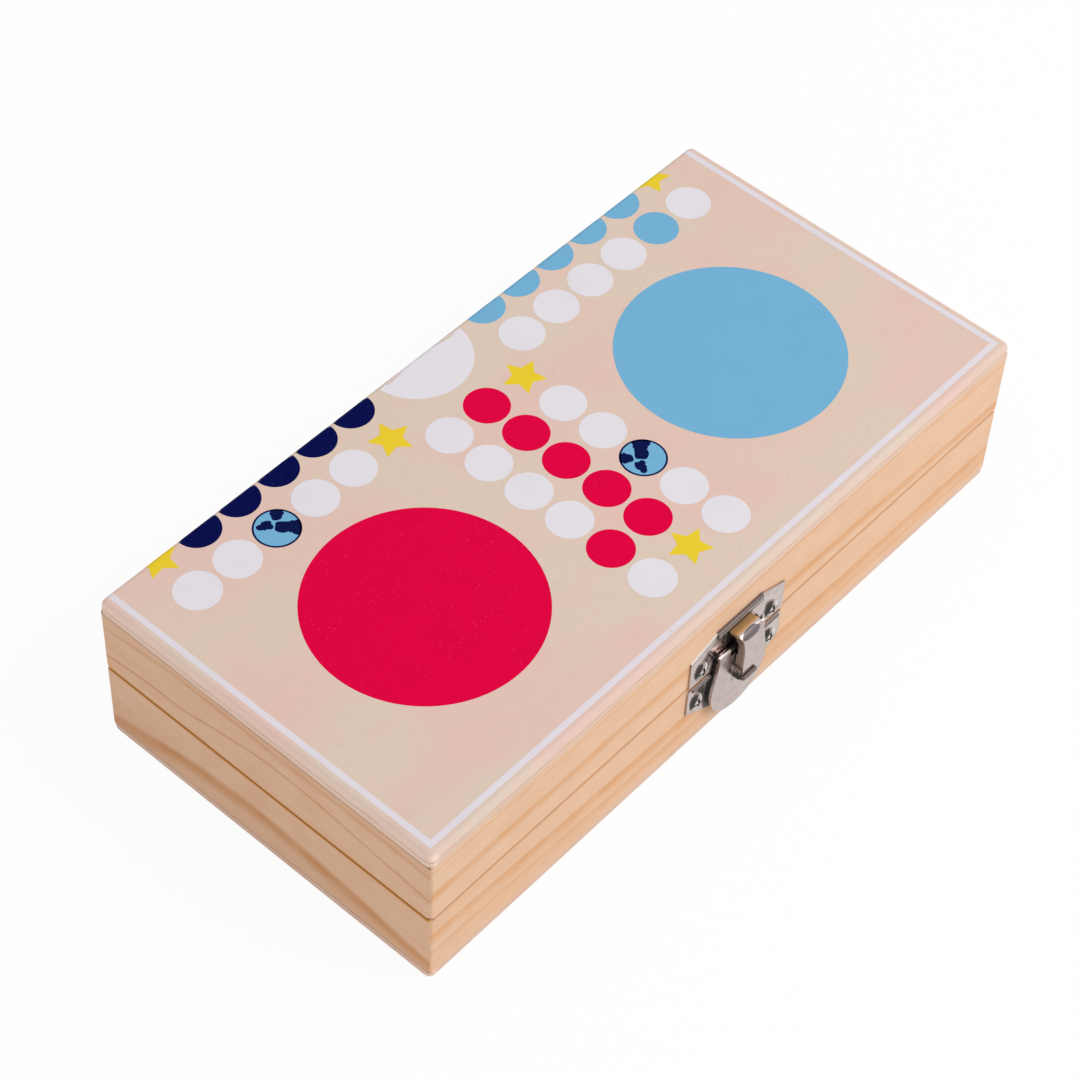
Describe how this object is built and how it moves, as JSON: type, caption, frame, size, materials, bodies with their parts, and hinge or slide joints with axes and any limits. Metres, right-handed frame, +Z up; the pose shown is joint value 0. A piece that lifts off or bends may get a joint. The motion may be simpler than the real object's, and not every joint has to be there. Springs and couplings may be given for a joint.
{
  "type": "folding ludo board box",
  "caption": "Flat wooden box of two hinged trays with a sheet-metal toggle latch; a printed ludo board lies over the outsides of both halves.",
  "frame": {"origin": "middle of the base's underside, on the surface that the closed box stands on", "axes": "+X along the long side, to the right as seen from the latch; +Y from the latched front to the hinged back; +Z up"},
  "size_m": [0.2434, 0.1285, 0.056],
  "materials": {
    "birch_plywood": "smooth, printed, matte varnish",
    "pine": "satin varnish over striped grain",
    "hinge_steel": "nickel-plated, satin",
    "plain_steel": "drawn wire",
    "nickel": "bright nickel plate on pressed sheet",
    "nickel_screws": "bright nickel plate, cross recess"
  },
  "bodies": {
    "base": {"base_panel": "birch_plywood", "base_rail_front": "pine", "base_rail_back": "pine", "base_rail_left": "pine", "base_rail_right": "pine", "hinge_left_base_leaf": "hinge_steel", "hinge_left_pin": "plain_steel", "hinge_right_base_leaf": "hinge_steel", "hinge_right_pin": "plain_steel", "base_hinge_screws": "plain_steel", "latch_base_plate": "nickel", "latch_pivot_pin": "plain_steel", "latch_base_screws": "nickel_screws"},
    "lid": {"lid_panel": "birch_plywood", "lid_rail_front": "pine", "lid_rail_back": "pine", "lid_rail_left": "pine", "lid_rail_right": "pine", "hinge_left_lid_leaf": "hinge_steel", "hinge_right_lid_leaf": "hinge_steel", "lid_hinge_screws": "plain_steel", "latch_keeper_plate": "nickel", "keeper_screws": "nickel_screws"},
    "lever": {"latch_lever": "nickel", "latch_strap_pin": "plain_steel"},
    "strap": {"latch_strap": "nickel"}
  },
  "joints": [
    {"name": "lid_hinge", "type": "hinge", "parent": "base", "child": "lid", "pos_m": [0, 0.0603, 0.028], "axis": [-1, 0, 0], "range_deg": [0, 180]},
    {"name": "lever_pivot", "type": "hinge", "parent": "base", "child": "lever", "pos_m": [0, -0.0617, 0.0329], "axis": [-1, 0, 0], "range_deg": [0, 90]},
    {"name": "strap_pivot", "type": "hinge", "parent": "lever", "child": "strap", "pos_m": [0, -0.0646, 0.0236], "axis": [-1, 0, 0], "range_deg": [-90, 0]}
  ],
  "couplings": [
    {"joint": "strap_pivot", "follows": "lever_pivot", "ratio": -1}
  ]
}
